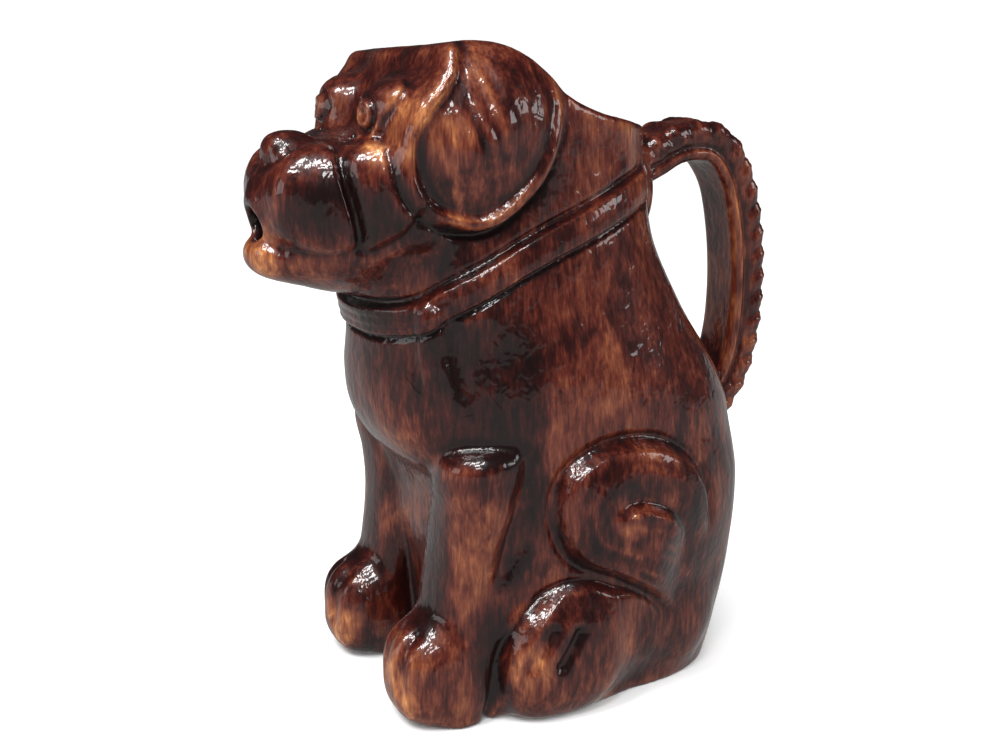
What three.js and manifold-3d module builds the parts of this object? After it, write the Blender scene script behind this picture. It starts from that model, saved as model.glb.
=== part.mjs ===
// A pouring jug shaped as a sitting dog, one hollow piece of glazed pottery.
// The dog faces -Y and its left side is +X. The mouth of the jug is the open top of the head, the
// dog's own mouth is the spout, and the rope handle stands on the back.
import * as THREE from "three";
import Module from "manifold-3d";

// Driving sizes, millimetres
const HEIGHT = 236;
const WALL = 6;
const FLOOR = 7.5;
const HANDLE_WIDTH = 22;
const HANDLE_THICKNESS = 14.5;
const SPOUT_BORE = 11;
const RIM_ROUNDING = 2.2;
const UNDERSIDE_ROUNDING = 4;
const GRID = 2.6;
const TRIANGLES = 9600;

// The figure is drawn at 236 mm tall, and every place in it is a share of that height.
const DRAWN_HEIGHT = 236;
const UNIT = HEIGHT / DRAWN_HEIGHT;
const drawn = (size) => size / UNIT;

const { min, max, abs, sqrt, exp, sin, cos, sign, PI } = Math;
const { clamp, degToRad } = THREE.MathUtils;
const TINY = 1e-6;
const bell = (distance, width) => exp(-((distance / width) ** 2));

// From 0 to 1 as a value goes from one place to another, in either direction
function ramp(from, to, value) {
  const t = clamp((value - from) / (to - from), 0, 1);
  return t * t * (3 - 2 * t);
}

// Two shapes joined, or one kept inside the other, with the crease rounded over a width
function join(a, b, width) {
  const share = max(width - abs(a - b), 0) / width;
  return min(a, b) - share * share * width * 0.25;
}
const trim = (a, b, width) => -join(-a, -b, width);

// Rows of values along a first column, read off as one smooth curve per column
function profile(rows) {
  const at = rows.map((row) => row[0]);
  const values = rows.map((row) => row.slice(1));
  const last = rows.length - 1;
  const rise = (i, c) => (values[i + 1][c] - values[i][c]) / (at[i + 1] - at[i]);
  const slopes = values.map((row, i) =>
    row.map((_, c) => {
      if (i === 0) return rise(0, c);
      if (i === last) return rise(last - 1, c);
      return (rise(i - 1, c) + rise(i, c)) / 2;
    }),
  );
  return (place, column) => {
    const t = clamp(place, at[0], at[last]);
    let i = 0;
    while (i < last - 1 && t >= at[i + 1]) i += 1;
    const step = at[i + 1] - at[i];
    const s = (t - at[i]) / step;
    const s2 = s * s;
    const s3 = s2 * s;
    return (
      (2 * s3 - 3 * s2 + 1) * values[i][column] +
      (s3 - 2 * s2 + s) * step * slopes[i][column] +
      (3 * s2 - 2 * s3) * values[i + 1][column] +
      (s3 - s2) * step * slopes[i + 1][column]
    );
  };
}

// A squared-off oval: the distance from (u, v), measured in its own half sizes, to its edge
function oval(u, v, halfU, halfV, power) {
  const q = max((abs(u / halfU) ** power + abs(v / halfV) ** power) ** (1 / power), 1e-4);
  const du = abs(u / halfU / q) ** (power - 1) / halfU;
  const dv = abs(v / halfV / q) ** (power - 1) / halfV;
  return (q - 1) / max(sqrt(du * du + dv * dv), 1e-4);
}

// A blob of clay: an ellipsoid, squarer for a power over 2, tipped about X or turned about Z
function lump(centre, radii, { tip = 0, turn = 0, power = 2 } = {}) {
  const [cx, cy, cz] = centre;
  const [rx, ry, rz] = radii;
  const tipCos = cos(degToRad(tip));
  const tipSin = sin(degToRad(tip));
  const turnCos = cos(degToRad(turn));
  const turnSin = sin(degToRad(turn));
  return (x, y, z) => {
    const a = (x - cx) * turnCos + (y - cy) * turnSin;
    const side = -(x - cx) * turnSin + (y - cy) * turnCos;
    const b = side * tipCos + (z - cz) * tipSin;
    const c = -side * tipSin + (z - cz) * tipCos;
    const k =
      power === 2
        ? sqrt((a / rx) ** 2 + (b / ry) ** 2 + (c / rz) ** 2)
        : (abs(a / rx) ** power + abs(b / ry) ** power + abs(c / rz) ** power) ** (1 / power);
    const q = max(k, 1e-5);
    const fall = (part, radius) => (abs(part / radius) / q) ** (power - 1) / radius;
    const slope = sqrt(fall(a, rx) ** 2 + fall(b, ry) ** 2 + fall(c, rz) ** 2);
    return (q - 1) / max(slope, 1e-4);
  };
}

// The distance to a run of straight strokes in space
function strokes(points) {
  const pairs = points.slice(1).map((end, i) => [points[i], end.map((v, k) => v - points[i][k])]);
  return (x, y, z) => {
    let best = 1e9;
    for (const [[ax, ay, az], [ex, ey, ez]] of pairs) {
      const wx = x - ax;
      const wy = y - ay;
      const wz = z - az;
      const h = clamp((wx * ex + wy * ey + wz * ez) / (ex * ex + ey * ey + ez * ez), 0, 1);
      best = min(best, (wx - h * ex) ** 2 + (wy - h * ey) ** 2 + (wz - h * ez) ** 2);
    }
    return sqrt(best);
  };
}

// A smooth curve through side-view points (Y, Z), as a run of short strokes
function sideCurve(points, closed, pieces) {
  const path = points.map(([y, z]) => new THREE.Vector3(0, y, z));
  const curve = new THREE.CatmullRomCurve3(path, closed, "catmullrom", 0.5);
  return curve.getPoints(pieces).map((point) => [point.y, point.z]);
}

// The nearest stroke of a side-view curve: distance, length along it, and which side it is on
function nearest(points, y, z) {
  let best = 1e9;
  let along = 0;
  let travelled = 0;
  let side = 1;
  for (let i = 0; i < points.length - 1; i += 1) {
    const [ay, az] = points[i];
    const ey = points[i + 1][0] - ay;
    const ez = points[i + 1][1] - az;
    const length = sqrt(ey * ey + ez * ez);
    const h = clamp(((y - ay) * ey + (z - az) * ez) / (length * length), 0, 1);
    const distance = (y - ay - h * ey) ** 2 + (z - az - h * ez) ** 2;
    if (distance < best) {
      best = distance;
      along = travelled + h * length;
      side = sign(ey * (z - az) - ez * (y - ay)) || 1;
    }
    travelled += length;
  }
  return { distance: sqrt(best), along, side };
}

// How far a side-view point is inside a closed outline, below zero outside it
function insideOf(outline) {
  return (y, z) => {
    let best = 1e9;
    let within = false;
    for (let i = 0; i < outline.length - 1; i += 1) {
      const [ay, az] = outline[i];
      const [by, bz] = outline[i + 1];
      const ey = by - ay;
      const ez = bz - az;
      const h = clamp(((y - ay) * ey + (z - az) * ez) / (ey * ey + ez * ez), 0, 1);
      best = min(best, (y - ay - h * ey) ** 2 + (z - az - h * ez) ** 2);
      if (az > z !== bz > z && y < ay + ((z - az) * ey) / ez) within = !within;
    }
    return within ? sqrt(best) : -sqrt(best);
  };
}

// Trunk: height, front, back, half width, squareness
const trunkRows = profile([
  [-10, 20, 126, 50, 2.6],
  [6, 18, 131.5, 51.5, 2.6],
  [20, 17, 133.5, 52.5, 2.8],
  [40, 15, 135.5, 54, 3.1],
  [60, 12, 137, 56, 3.1],
  [76, 11, 137.3, 57, 3.0],
  [86, 7, 137, 57, 2.8],
  [95, -1, 136.8, 56.5, 2.6],
  [106, -7, 135.5, 56, 2.5],
  [120, -9, 129, 54.5, 2.4],
  [135, -8, 119, 51.5, 2.4],
  [150, -8, 110, 48.5, 2.6],
  [165, -7, 102.8, 46.5, 2.6],
  [180, -2, 100.5, 44, 2.4],
  [195, 6, 100.5, 41.5, 2.2],
  [210, 8, 101, 40.5, 2.2],
  [240, 6, 101, 39, 2.2],
]);
function trunk(x, y, z, grow) {
  const front = trunkRows(z, 0) - grow;
  const back = trunkRows(z, 1) + grow;
  return oval(x, y - (front + back) / 2, trunkRows(z, 2) + grow, (back - front) / 2, trunkRows(z, 3));
}

// Front leg: height, centre across, half width, front, back
const LEG_TOP = 102;
const legRows = profile([
  [0, 31.5, 16.5, 1, 22],
  [30, 31.5, 16.5, 1, 22],
  [43, 30.5, 17.5, 3, 24],
  [56, 31, 18, 5, 27],
  [67, 32, 18.5, 6, 29],
  [79, 35, 18.5, 6, 31.5],
  [92, 39, 16.5, 4.5, 34],
  [104, 42, 14, 7, 36],
]);
const RIGHT_LEG_BACK = 1.5;
const legGroove = strokes([[55, 34, 97], [54, 35, 88], [52, 33, 76], [50, 29, 64], [47, 24, 50]]);
const legWeb = lump([36, 27, 32], [12.5, 18, 36], { power: 2.6 });
function frontLeg(x, y, z) {
  const height = clamp(z, 0, LEG_TOP + 2);
  const front = legRows(height, 2);
  const back = legRows(height, 3);
  const across = x - legRows(height, 0);
  const shaft = oval(across, y - (front + back) / 2, legRows(height, 1), (back - front) / 2, 2.3);
  return trim(shaft, z - LEG_TOP, 8);
}
const paw = lump([31.3, 7, 17.5], [17.5, 19.5, 20], { power: 2.6 });
const pawToes = [
  strokes([[26, -12, 30], [26, -13, 16]]),
  strokes([[38, -11, 31], [39, -12, 17]]),
];

// Hind leg, with the folded shank behind it and the long foot along the side
const haunch = lump([42, 79, 64], [17, 33, 36], { tip: 14 });
const toesLump = lump([45, 44, 23], [14.5, 21, 24], { power: 2.5 });
const footLump = lump([45, 62, 27], [13, 26, 22], { tip: 8, power: 2.3 });
const hockLump = lump([42, 93, 26], [13, 24, 26]);
const footToes = [
  strokes([[60, 38, 32], [58, 28, 20]]),
  strokes([[61, 49, 31], [60, 40, 19]]),
];
const THIGH = sideCurve(
  [
    [82, 41], [66, 51.5], [52, 58], [45, 67], [42.5, 80], [47, 92], [60, 98.5],
    [76, 99], [89, 94], [99, 85], [104, 72], [104, 56], [100, 40], [92, 32],
  ],
  true,
  46,
);
const insideThigh = insideOf(THIGH);
const THIGH_HIGH = 112;
const THIGH_IN = 30;
const SHANK = sideCurve(
  [[66, 76], [74, 75], [81, 71], [87, 64], [91, 56], [94, 48], [96, 39], [95, 28]],
  false,
  18,
);

// Head
const skull = lump([0, 35, 204.5], [43, 37, 44], { power: 2.05 });
const muzzle = lump([0, -8, 187.8], [28, 34, 18.5], { tip: 8, power: 2.7 });
const chin = lump([0, -26, 168.6], [17.5, 21.5, 11.5], { tip: 8 });
const throat = lump([0, -2, 163.8], [24, 19, 10.5], { tip: 14 });
const jaw = lump([0, -5, 174.8], [33, 31, 19], { tip: 12, power: 2.3 });
const lip = lump([0, -30.5, 183], [14, 16, 13.5]);
const cheek = lump([26.5, -3, 187], [13.5, 19, 18.5], { turn: -32, power: 2.7 });
const flew = lump([13.5, -21, 185.5], [14.5, 20.5, 17], { turn: -30, power: 2.6 });
const nose = lump([0, -31, 199], [8.5, 9, 8], { power: 2.6 });
const brow = lump([24, 4.2, 212], [18.5, 14, 12], { turn: 20, power: 2.4 });
const CHEEK = sideCurve(
  [
    [-21, 202], [-12, 205], [-2, 204.5], [1, 197], [1.5, 189], [-2.5, 182], [-8, 175],
    [-16, 171], [-18, 178], [-20, 187], [-21.5, 195],
  ],
  true,
  33,
);
const FLEW = sideCurve(
  [
    [-39, 199], [-31, 203.5], [-23.5, 203], [-23, 195], [-21.5, 187], [-19.5, 178],
    [-20, 171.5], [-28, 169.5], [-37, 172], [-42, 178], [-43, 190],
  ],
  true,
  33,
);
// Low pads of clay on the side of the muzzle: outline, where across it starts and is full, step, crown
const pads = [
  [insideOf(CHEEK), 20, 30, 1.8, 1.2],
  [insideOf(FLEW), 6, 16, 1.3, 0.8],
];
const eyeball = lump([19.3, -9, 213], [3, 3, 3.8]);
const eyeRing = { across: 19.5, height: 213, halfWidth: 4.8, halfHeight: 5.8 };
const nostril = strokes([[4, -41, 196.5], [8, -40, 197], [11.5, -36, 199], [11.5, -32, 201]]);
const mouthLine = strokes([[0, -50, 174], [9, -43, 172.5], [14, -39, 169]]);
const undereye = strokes([[12, -13, 205], [20, -12, 204], [28, -9, 204], [37, -7, 205.5], [42, -5, 205]]);

// Hanging ear, a flap laid over the side of the head with a rolled edge
const earDome = lump([20, 24, 203], [34, 40, 42]);
const EAR = sideCurve(
  [
    [14, 243], [5, 227], [-3, 217.5], [-8, 207], [-8.5, 195], [-4, 184.5], [6, 177.5],
    [20, 175.5], [33, 183.5], [43, 195], [49, 208], [51, 220], [43, 243],
  ],
  true,
  40,
);
const insideEar = insideOf(EAR);
const EAR_LOW = 160;

// Collar: distance back, height of its middle. Its end lies by the handle.
const collarHeight = profile([
  [-30, 138.5],
  [-12, 142.5],
  [0, 146.5],
  [8, 152],
  [20, 158.5],
  [35, 166.5],
  [55, 174.5],
  [80, 183.5],
  [100, 188],
]);
const COLLAR_HALF = 5.2;
const COLLAR_RAISED = 2.4;
const COLLAR_END = 92;
const strap = strokes([[37, 7, 151], [37, 6.5, 144], [38, 6.5, 134], [40, 7.5, 122]]);
const strapGroove = strokes([[43, 11.5, 150], [43.5, 12.5, 142], [45, 13.5, 132], [47, 15, 123]]);

// Handle: a flat band inside and a rope edge outside, bent in one curve up the back
const HANDLE = sideCurve(
  [
    [92, 185.5], [107, 191], [122, 197.3], [137, 196.3], [147.2, 184.5], [152.7, 166],
    [155, 145], [154.2, 122], [149.5, 104], [139, 89],
  ],
  false,
  44,
);
const HANDLE_FRONT = 74;
const ROPE_TURN = 8.5;
const ROPE_RAISED = 1.3;
const HANDLE_CORNER = 3.5;
const leafLump = lump([8.5, 98.5, 181], [8, 8.5, 18]);
function handle(x, y, z) {
  const { distance, along, side } = nearest(HANDLE, y, z);
  const outwards = distance * side;
  const a = x - (drawn(HANDLE_WIDTH) / 2 - HANDLE_CORNER);
  const b = distance - (drawn(HANDLE_THICKNESS) / 2 - HANDLE_CORNER);
  const band = sqrt(max(a, 0) ** 2 + max(b, 0) ** 2) + min(max(a, b), 0) - HANDLE_CORNER;
  const rope = ramp(2, 4, outwards) * ramp(6, 16, along);
  const strand = 0.5 + 0.5 * sin((2 * PI * along) / ROPE_TURN + x * 0.22);
  const channel = 1.6 * bell(outwards - 0.5, 1.5) * ramp(6, 9, x);
  return band - rope * ROPE_RAISED * strand + channel;
}

// Rim: distance back, height of the cut that opens the top of the head
const rimHeight = profile([
  [-60, 233],
  [-10, 233],
  [6, 233.2],
  [21, 234.5],
  [32, 232.5],
  [42, 227],
  [52, 217.5],
  [65, 211],
  [80, 207.5],
  [97, 205],
  [104, 204.5],
]);
// The rim rises a little to the left ear. Its slope shortens the upright distance to it.
const RIM_TILT = 0.05;
const RIM_SLOPE = 0.93;
const RIM_BACK = 104;

function withLegs(trunkOnly, x, y, z, wayX) {
  let d = join(trunkOnly, haunch(x, y, z), 9);
  d = join(d, legWeb(x, y, z), 8);
  d = join(d, frontLeg(x, y - (wayX < 0 ? RIGHT_LEG_BACK : 0), z), 2.5);
  d = join(d, paw(x, y, z), 7);
  const foot = join(join(toesLump(x, y, z), footLump(x, y, z), 9), hockLump(x, y, z), 10);
  d = join(d, foot, 3);
  for (const toe of pawToes) d += 1.6 * bell(toe(x, y, z), 3.6);
  for (const toe of footToes) d += 1.8 * bell(toe(x, y, z), 4);
  return d + 2.4 * bell(legGroove(x, y, z), 3.2) * ramp(48, 70, z);
}

function head(x, y, z) {
  let d = skull(x, y, z);
  d = join(d, muzzle(x, y, z), 12);
  d = join(d, chin(x, y, z), 7);
  d = join(d, throat(x, y, z), 10);
  d = join(d, jaw(x, y, z), 8);
  d = join(d, lip(x, y, z), 6);
  d = join(d, cheek(x, y, z), 5);
  d = join(d, flew(x, y, z), 5);
  d = join(d, nose(x, y, z), 3);
  d = join(d, brow(x, y, z), 8);
  for (const [depthAt, start, full, step, crown] of pads) {
    const depth = depthAt(y, z);
    const swell = step * ramp(-1, 2.5, depth) + crown * (1 - exp(-max(depth, 0) / 6));
    d -= ramp(start, full, x) * (swell - 0.7 * step * bell(depth + 1.8, 1.6));
  }
  d += 1.5 * bell(undereye(x, y, z), 1.8);
  d += 1.5 * bell(nostril(x, y, z), 1.8);
  const ringA = (x - eyeRing.across) / eyeRing.halfWidth;
  const ringB = (z - eyeRing.height) / eyeRing.halfHeight;
  const ring = (sqrt(ringA * ringA + ringB * ringB) - 1) * eyeRing.halfWidth;
  d += y < 0 ? 1.1 * bell(ring, 1.5) : 0;
  return join(d, eyeball(x, y, z), 1.2);
}

function withEar(noEar, x, y, z) {
  const depth = insideEar(y, z);
  const flap = trim(earDome(x, y, z), -depth, 6);
  const dish = 3.2 * ramp(3.5, 7.5, depth) - 2.6 * ramp(8, 22, depth);
  const toFront = 0.35 + 0.65 * ramp(42, 20, y);
  return join(noEar, flap, 1.5) + ramp(22, 34, x) * dish * toFront * ramp(6, 1, abs(flap));
}

function withThigh(noThigh, x, y, z) {
  const onSide = ramp(THIGH_IN, 44, x);
  const depth = insideThigh(y, z);
  const swell = 3.8 * ramp(-1.5, 2.5, depth) + 3.4 * (1 - exp(-max(depth, 0) / 9));
  const { distance, along, side } = nearest(SHANK, y, z);
  const behind = 3.2 * ramp(0, 3.5, distance) * exp(-max(distance - 3.5, 0) / 7);
  const fold = ramp(0, 16, along) * (side > 0 ? behind : -1.2 * bell(distance, 3.5));
  return noThigh + onSide * (fold - swell + 1.9 * bell(depth + 2.4, 2));
}

function withCollar(noCollar, wayX, y, z) {
  const away = abs(z - collarHeight(y, 0));
  const hasCollar = ramp(COLLAR_END + 3, COLLAR_END - 3, y);
  const crown = 1 - 0.25 * (away / COLLAR_HALF) ** 2;
  const band = crown * ramp(COLLAR_HALF + 0.8, COLLAR_HALF - 0.8, away);
  const raised = 1.9 * ramp(6.4, 3.8, strap(wayX, y, z));
  const hanging = ramp(116, 134, z) * (raised - 3 * bell(strapGroove(wayX, y, z), 2.4));
  return noCollar - hasCollar * (COLLAR_RAISED * band - 1.1 * bell(away - COLLAR_HALF - 1.4, 1.3)) - hanging;
}

// The outside, as a distance that is below zero inside the clay
function outside(wayX, y, z) {
  const x = abs(wayX);
  let d = withLegs(trunk(x, y, z, 0), x, y, z, wayX);
  d = join(d, head(x, y, z), 10);
  d += 1.2 * bell(mouthLine(x, y, z), 1.8);
  if (z > EAR_LOW) d = withEar(d, x, y, z);
  if (z < THIGH_HIGH && x > THIGH_IN) d = withThigh(d, x, y, z);
  d = withCollar(d, wayX, y, z);
  if (y > HANDLE_FRONT) d = join(d, handle(x, y, z), 5);
  d = join(d, leafLump(x, y, z), 1.5);
  const overRim = z - rimHeight(y, 0) - RIM_TILT * wayX;
  const aboveRim = RIM_SLOPE * overRim - HEIGHT * ramp(RIM_BACK, RIM_BACK + 4, y);
  d = trim(d, aboveRim, 2.5);
  return trim(d, -z - 1.5, UNDERSIDE_ROUNDING);
}

// The room inside, from the floor up through the head, and the bore of the spout
const skullRoom = lump([0, 34, 206], [34, 29, 40]);
const muzzleRoom = lump([0, -12, 182.5], [15, 22, 12.5]);
const spoutLine = strokes([[0, -62, 177.5], [0, -20, 177.5]]);
const mouthOpening = lump([0, -45.5, 176.5], [6, 9.5, 4.4]);
function inside(wayX, y, z) {
  const x = abs(wayX);
  let d = trunk(x, y, z, -drawn(WALL) - 0.5);
  d = trim(d, drawn(FLOOR) - z, 6);
  d = join(d, skullRoom(x, y, z), 8);
  d = join(d, muzzleRoom(x, y, z), 6);
  d = join(d, spoutLine(x, y, z) - drawn(SPOUT_BORE) / 2, 3);
  return join(d, mouthOpening(x, y, z), 3);
}
const pottery = (x, y, z) => trim(outside(x, y, z), -inside(x, y, z), drawn(RIM_ROUNDING));

// The surface where a distance is zero, as triangles: each grid cube is six tetrahedra
function surfaceOf(field, low, high, cell) {
  const [nx, ny, nz] = low.map((v, i) => Math.ceil((high[i] - v) / cell) + 1);
  const place = (i, j, k) => [low[0] + i * cell, low[1] + j * cell, low[2] + k * cell];
  const values = new Float64Array(nx * ny * nz);
  const at = (i, j, k) => (k * ny + j) * nx + i;
  const BLOCK = 4;
  const farAway = BLOCK * cell * 1.6;
  for (let k = 0; k < nz; k += BLOCK) {
    for (let j = 0; j < ny; j += BLOCK) {
      for (let i = 0; i < nx; i += BLOCK) {
        const middle = field(...place(i + 1.5, j + 1.5, k + 1.5));
        for (let c = k; c < min(k + BLOCK, nz); c += 1) {
          for (let b = j; b < min(j + BLOCK, ny); b += 1) {
            for (let a = i; a < min(i + BLOCK, nx); a += 1) {
              const value = abs(middle) > farAway ? middle : field(...place(a, b, c));
              values[at(a, b, c)] = value || TINY;
            }
          }
        }
      }
    }
  }
  const corners = [0, 1, 2, 3, 4, 5, 6, 7].map((n) => [n & 1, (n >> 1) & 1, n >> 2]);
  const offsets = corners.map(([a, b, c]) => at(a, b, c));
  const tetrahedra = [
    [0, 1, 3, 7], [0, 3, 2, 7], [0, 2, 6, 7], [0, 6, 4, 7], [0, 4, 5, 7], [0, 5, 1, 7],
  ];
  const positions = [];
  const triangles = [];
  const made = new Map();
  const stride = 2 * nx * ny;
  const END_SHARE = 0.03;
  const nodePlace = (n) => place(n % nx, Math.floor(n / nx) % ny, Math.floor(n / nx / ny));
  function crossing(n, m) {
    const [a, b] = n < m ? [n, m] : [m, n];
    const key = a * stride + (b - a);
    if (made.has(key)) return made.get(key);
    const p = nodePlace(a);
    const q = nodePlace(b);
    let share = values[a] / (values[a] - values[b]);
    const mix = (s) => p.map((v, i) => v + s * (q[i] - v));
    const check = field(...mix(share));
    if (check < 0 === values[a] < 0) share += (1 - share) * (check / (check - values[b]));
    else share *= values[a] / (values[a] - check);
    share = clamp(share, END_SHARE, 1 - END_SHARE);
    const id = positions.length;
    positions.push(mix(share));
    made.set(key, id);
    return id;
  }
  const add = (a, b, c) => triangles.push([a, b, c]);
  const evenOrders = [
    [0, 1, 2, 3], [1, 0, 3, 2], [2, 3, 0, 1], [3, 2, 1, 0],
  ];
  const pairOrders = [
    [0, 1, 2, 3], [0, 2, 3, 1], [0, 3, 1, 2], [1, 2, 0, 3], [1, 3, 2, 0], [2, 3, 0, 1],
  ];
  for (let k = 0; k < nz - 1; k += 1) {
    for (let j = 0; j < ny - 1; j += 1) {
      for (let i = 0; i < nx - 1; i += 1) {
        const base = at(i, j, k);
        let low8 = 0;
        for (const offset of offsets) low8 += values[base + offset] < 0 ? 1 : 0;
        if (low8 === 0 || low8 === 8) continue;
        for (const tetrahedron of tetrahedra) {
          const nodes = tetrahedron.map((n) => base + offsets[n]);
          const solid = nodes.map((n) => values[n] < 0);
          const count = solid.filter(Boolean).length;
          if (count === 1 || count === 3) {
            const lone = solid.indexOf(count === 1);
            const [o, a, b, c] = evenOrders[lone].map((n) => nodes[n]);
            if (count === 1) add(crossing(o, a), crossing(o, b), crossing(o, c));
            else add(crossing(o, a), crossing(o, c), crossing(o, b));
          } else if (count === 2) {
            const order = pairOrders.find(([a, b]) => solid[a] && solid[b]);
            const [a, b, c, e] = order.map((n) => nodes[n]);
            const ring4 = [crossing(a, c), crossing(a, e), crossing(b, e), crossing(b, c)];
            add(ring4[0], ring4[1], ring4[2]);
            add(ring4[0], ring4[2], ring4[3]);
          }
        }
      }
    }
  }
  return { positions, triangles };
}

// Fewer triangles: the edge whose loss changes the form least is closed up first
function simplify({ positions, triangles }, target) {
  const count = positions.length;
  const px = new Float64Array(positions.flat());
  const quadric = new Float64Array(count * 10);
  const faces = triangles.map((face) => [...face]);
  const around = Array.from({ length: count }, () => new Set());
  faces.forEach((face, f) => face.forEach((v) => around[v].add(f)));
  const sub = (a, b) => [0, 1, 2].map((i) => px[3 * a + i] - px[3 * b + i]);
  const cross = (u, v) => [
    u[1] * v[2] - u[2] * v[1],
    u[2] * v[0] - u[0] * v[2],
    u[0] * v[1] - u[1] * v[0],
  ];
  const dot = (u, v) => u[0] * v[0] + u[1] * v[1] + u[2] * v[2];
  function addPlane(v, [a, b, c], e, weight) {
    const terms = [a * a, a * b, a * c, a * e, b * b, b * c, b * e, c * c, c * e, e * e];
    for (let i = 0; i < 10; i += 1) quadric[v * 10 + i] += weight * terms[i];
  }
  const KEEP_SPREAD = 0.004;
  for (const face of faces) {
    const normal = cross(sub(face[1], face[0]), sub(face[2], face[0]));
    const area = sqrt(dot(normal, normal));
    if (area < 1e-9) continue;
    const unit = normal.map((v) => v / area);
    for (const v of face) {
      const p = [px[3 * v], px[3 * v + 1], px[3 * v + 2]];
      addPlane(v, unit, -dot(unit, p), area);
      [[1, 0, 0], [0, 1, 0], [0, 0, 1]].forEach((axis, i) => addPlane(v, axis, -p[i], area * KEEP_SPREAD));
    }
  }
  const errorAt = (q, [x, y, z]) =>
    q[0] * x * x + 2 * q[1] * x * y + 2 * q[2] * x * z + 2 * q[3] * x + q[4] * y * y +
    2 * q[5] * y * z + 2 * q[6] * y + q[7] * z * z + 2 * q[8] * z + q[9];
  function best(a, b) {
    const q = new Float64Array(10);
    for (let i = 0; i < 10; i += 1) q[i] = quadric[a * 10 + i] + quadric[b * 10 + i];
    const [m0, m1, m2, r0, m4, m5, r1, m7, r2] = q;
    const c0 = m4 * m7 - m5 * m5;
    const c1 = m2 * m5 - m1 * m7;
    const c2 = m1 * m5 - m2 * m4;
    const det = m0 * c0 + m1 * c1 + m2 * c2;
    const middle = [0, 1, 2].map((i) => (px[3 * a + i] + px[3 * b + i]) / 2);
    let spot = middle;
    if (abs(det) > 1e-10) {
      spot = [
        -(c0 * r0 + c1 * r1 + c2 * r2) / det,
        -(c1 * r0 + (m0 * m7 - m2 * m2) * r1 + (m1 * m2 - m0 * m5) * r2) / det,
        -(c2 * r0 + (m1 * m2 - m0 * m5) * r1 + (m0 * m4 - m1 * m1) * r2) / det,
      ];
      const edge = sub(a, b);
      const drift = spot.map((v, i) => v - middle[i]);
      if (dot(drift, drift) > dot(edge, edge)) spot = middle;
    }
    return { spot, error: max(errorAt(q, spot), 0) };
  }
  const heap = [];
  const stamp = new Int32Array(count);
  const swap = (i, j) => ([heap[i], heap[j]] = [heap[j], heap[i]]);
  function push(item) {
    heap.push(item);
    let i = heap.length - 1;
    while (i > 0) {
      const parent = (i - 1) >> 1;
      if (heap[parent].error <= heap[i].error) break;
      swap(i, parent);
      i = parent;
    }
  }
  function pop() {
    const top = heap[0];
    const end = heap.pop();
    if (heap.length > 0) {
      heap[0] = end;
      let i = 0;
      for (;;) {
        const left = 2 * i + 1;
        const right = left + 1;
        let least = i;
        if (left < heap.length && heap[left].error < heap[least].error) least = left;
        if (right < heap.length && heap[right].error < heap[least].error) least = right;
        if (least === i) break;
        swap(i, least);
        i = least;
      }
    }
    return top;
  }
  const offer = (a, b) => push({ a, b, stampA: stamp[a], stampB: stamp[b], ...best(a, b) });
  const neighbours = (v) => {
    const found = new Set();
    for (const f of around[v]) for (const w of faces[f]) if (w !== v) found.add(w);
    return found;
  };
  for (const [a, b, c] of faces) {
    if (a < b) offer(a, b);
    if (b < c) offer(b, c);
    if (c < a) offer(c, a);
  }
  let left = faces.length;
  const LEAST_TURN = 0.25;
  const LEAST_WIDTH = 0.03;
  function turnsOver(v, other, spot) {
    for (const f of around[v]) {
      if (around[other].has(f)) continue;
      const place = faces[f].indexOf(v);
      const b = faces[f][(place + 1) % 3];
      const c = faces[f][(place + 2) % 3];
      const before = cross(sub(b, v), sub(c, v));
      const toB = [0, 1, 2].map((i) => px[3 * b + i] - spot[i]);
      const toC = [0, 1, 2].map((i) => px[3 * c + i] - spot[i]);
      const after = cross(toB, toC);
      const sizes = sqrt(dot(before, before) * dot(after, after));
      const longest = max(dot(toB, toB), dot(toC, toC));
      if (dot(before, after) < LEAST_TURN * sizes) return true;
      if (sqrt(dot(after, after)) < LEAST_WIDTH * longest) return true;
    }
    return false;
  }
  while (left > target && heap.length > 0) {
    const { a, b, stampA, stampB, spot } = pop();
    if (stampA !== stamp[a] || stampB !== stamp[b] || stampA < 0 || stampB < 0) continue;
    const nearA = neighbours(a);
    const nearB = neighbours(b);
    let shared = 0;
    for (const v of nearA) shared += nearB.has(v) ? 1 : 0;
    if (shared !== 2 || turnsOver(a, b, spot) || turnsOver(b, a, spot)) continue;
    for (let i = 0; i < 3; i += 1) px[3 * a + i] = spot[i];
    for (let i = 0; i < 10; i += 1) quadric[a * 10 + i] += quadric[b * 10 + i];
    for (const f of [...around[b]]) {
      if (faces[f].includes(a)) {
        for (const v of faces[f]) around[v].delete(f);
        faces[f] = null;
        left -= 1;
      } else {
        faces[f][faces[f].indexOf(b)] = a;
        around[a].add(f);
      }
    }
    around[b].clear();
    stamp[b] = -1;
    stamp[a] += 1;
    for (const v of neighbours(a)) offer(a, v);
  }
  const numbers = new Map();
  const vertices = [];
  const kept = faces.filter(Boolean).map((face) =>
    face.map((v) => {
      if (!numbers.has(v)) {
        numbers.set(v, vertices.length);
        vertices.push([px[3 * v], px[3 * v + 1], px[3 * v + 2]]);
      }
      return numbers.get(v);
    }),
  );
  return { positions: vertices, triangles: kept };
}

const wasm = await Module();
wasm.setup();
function solid({ positions, triangles }) {
  return new wasm.Manifold(
    new wasm.Mesh({
      numProp: 3,
      vertProperties: new Float32Array(positions.flat()),
      triVerts: new Uint32Array(triangles.flat()),
    }),
  );
}

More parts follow.
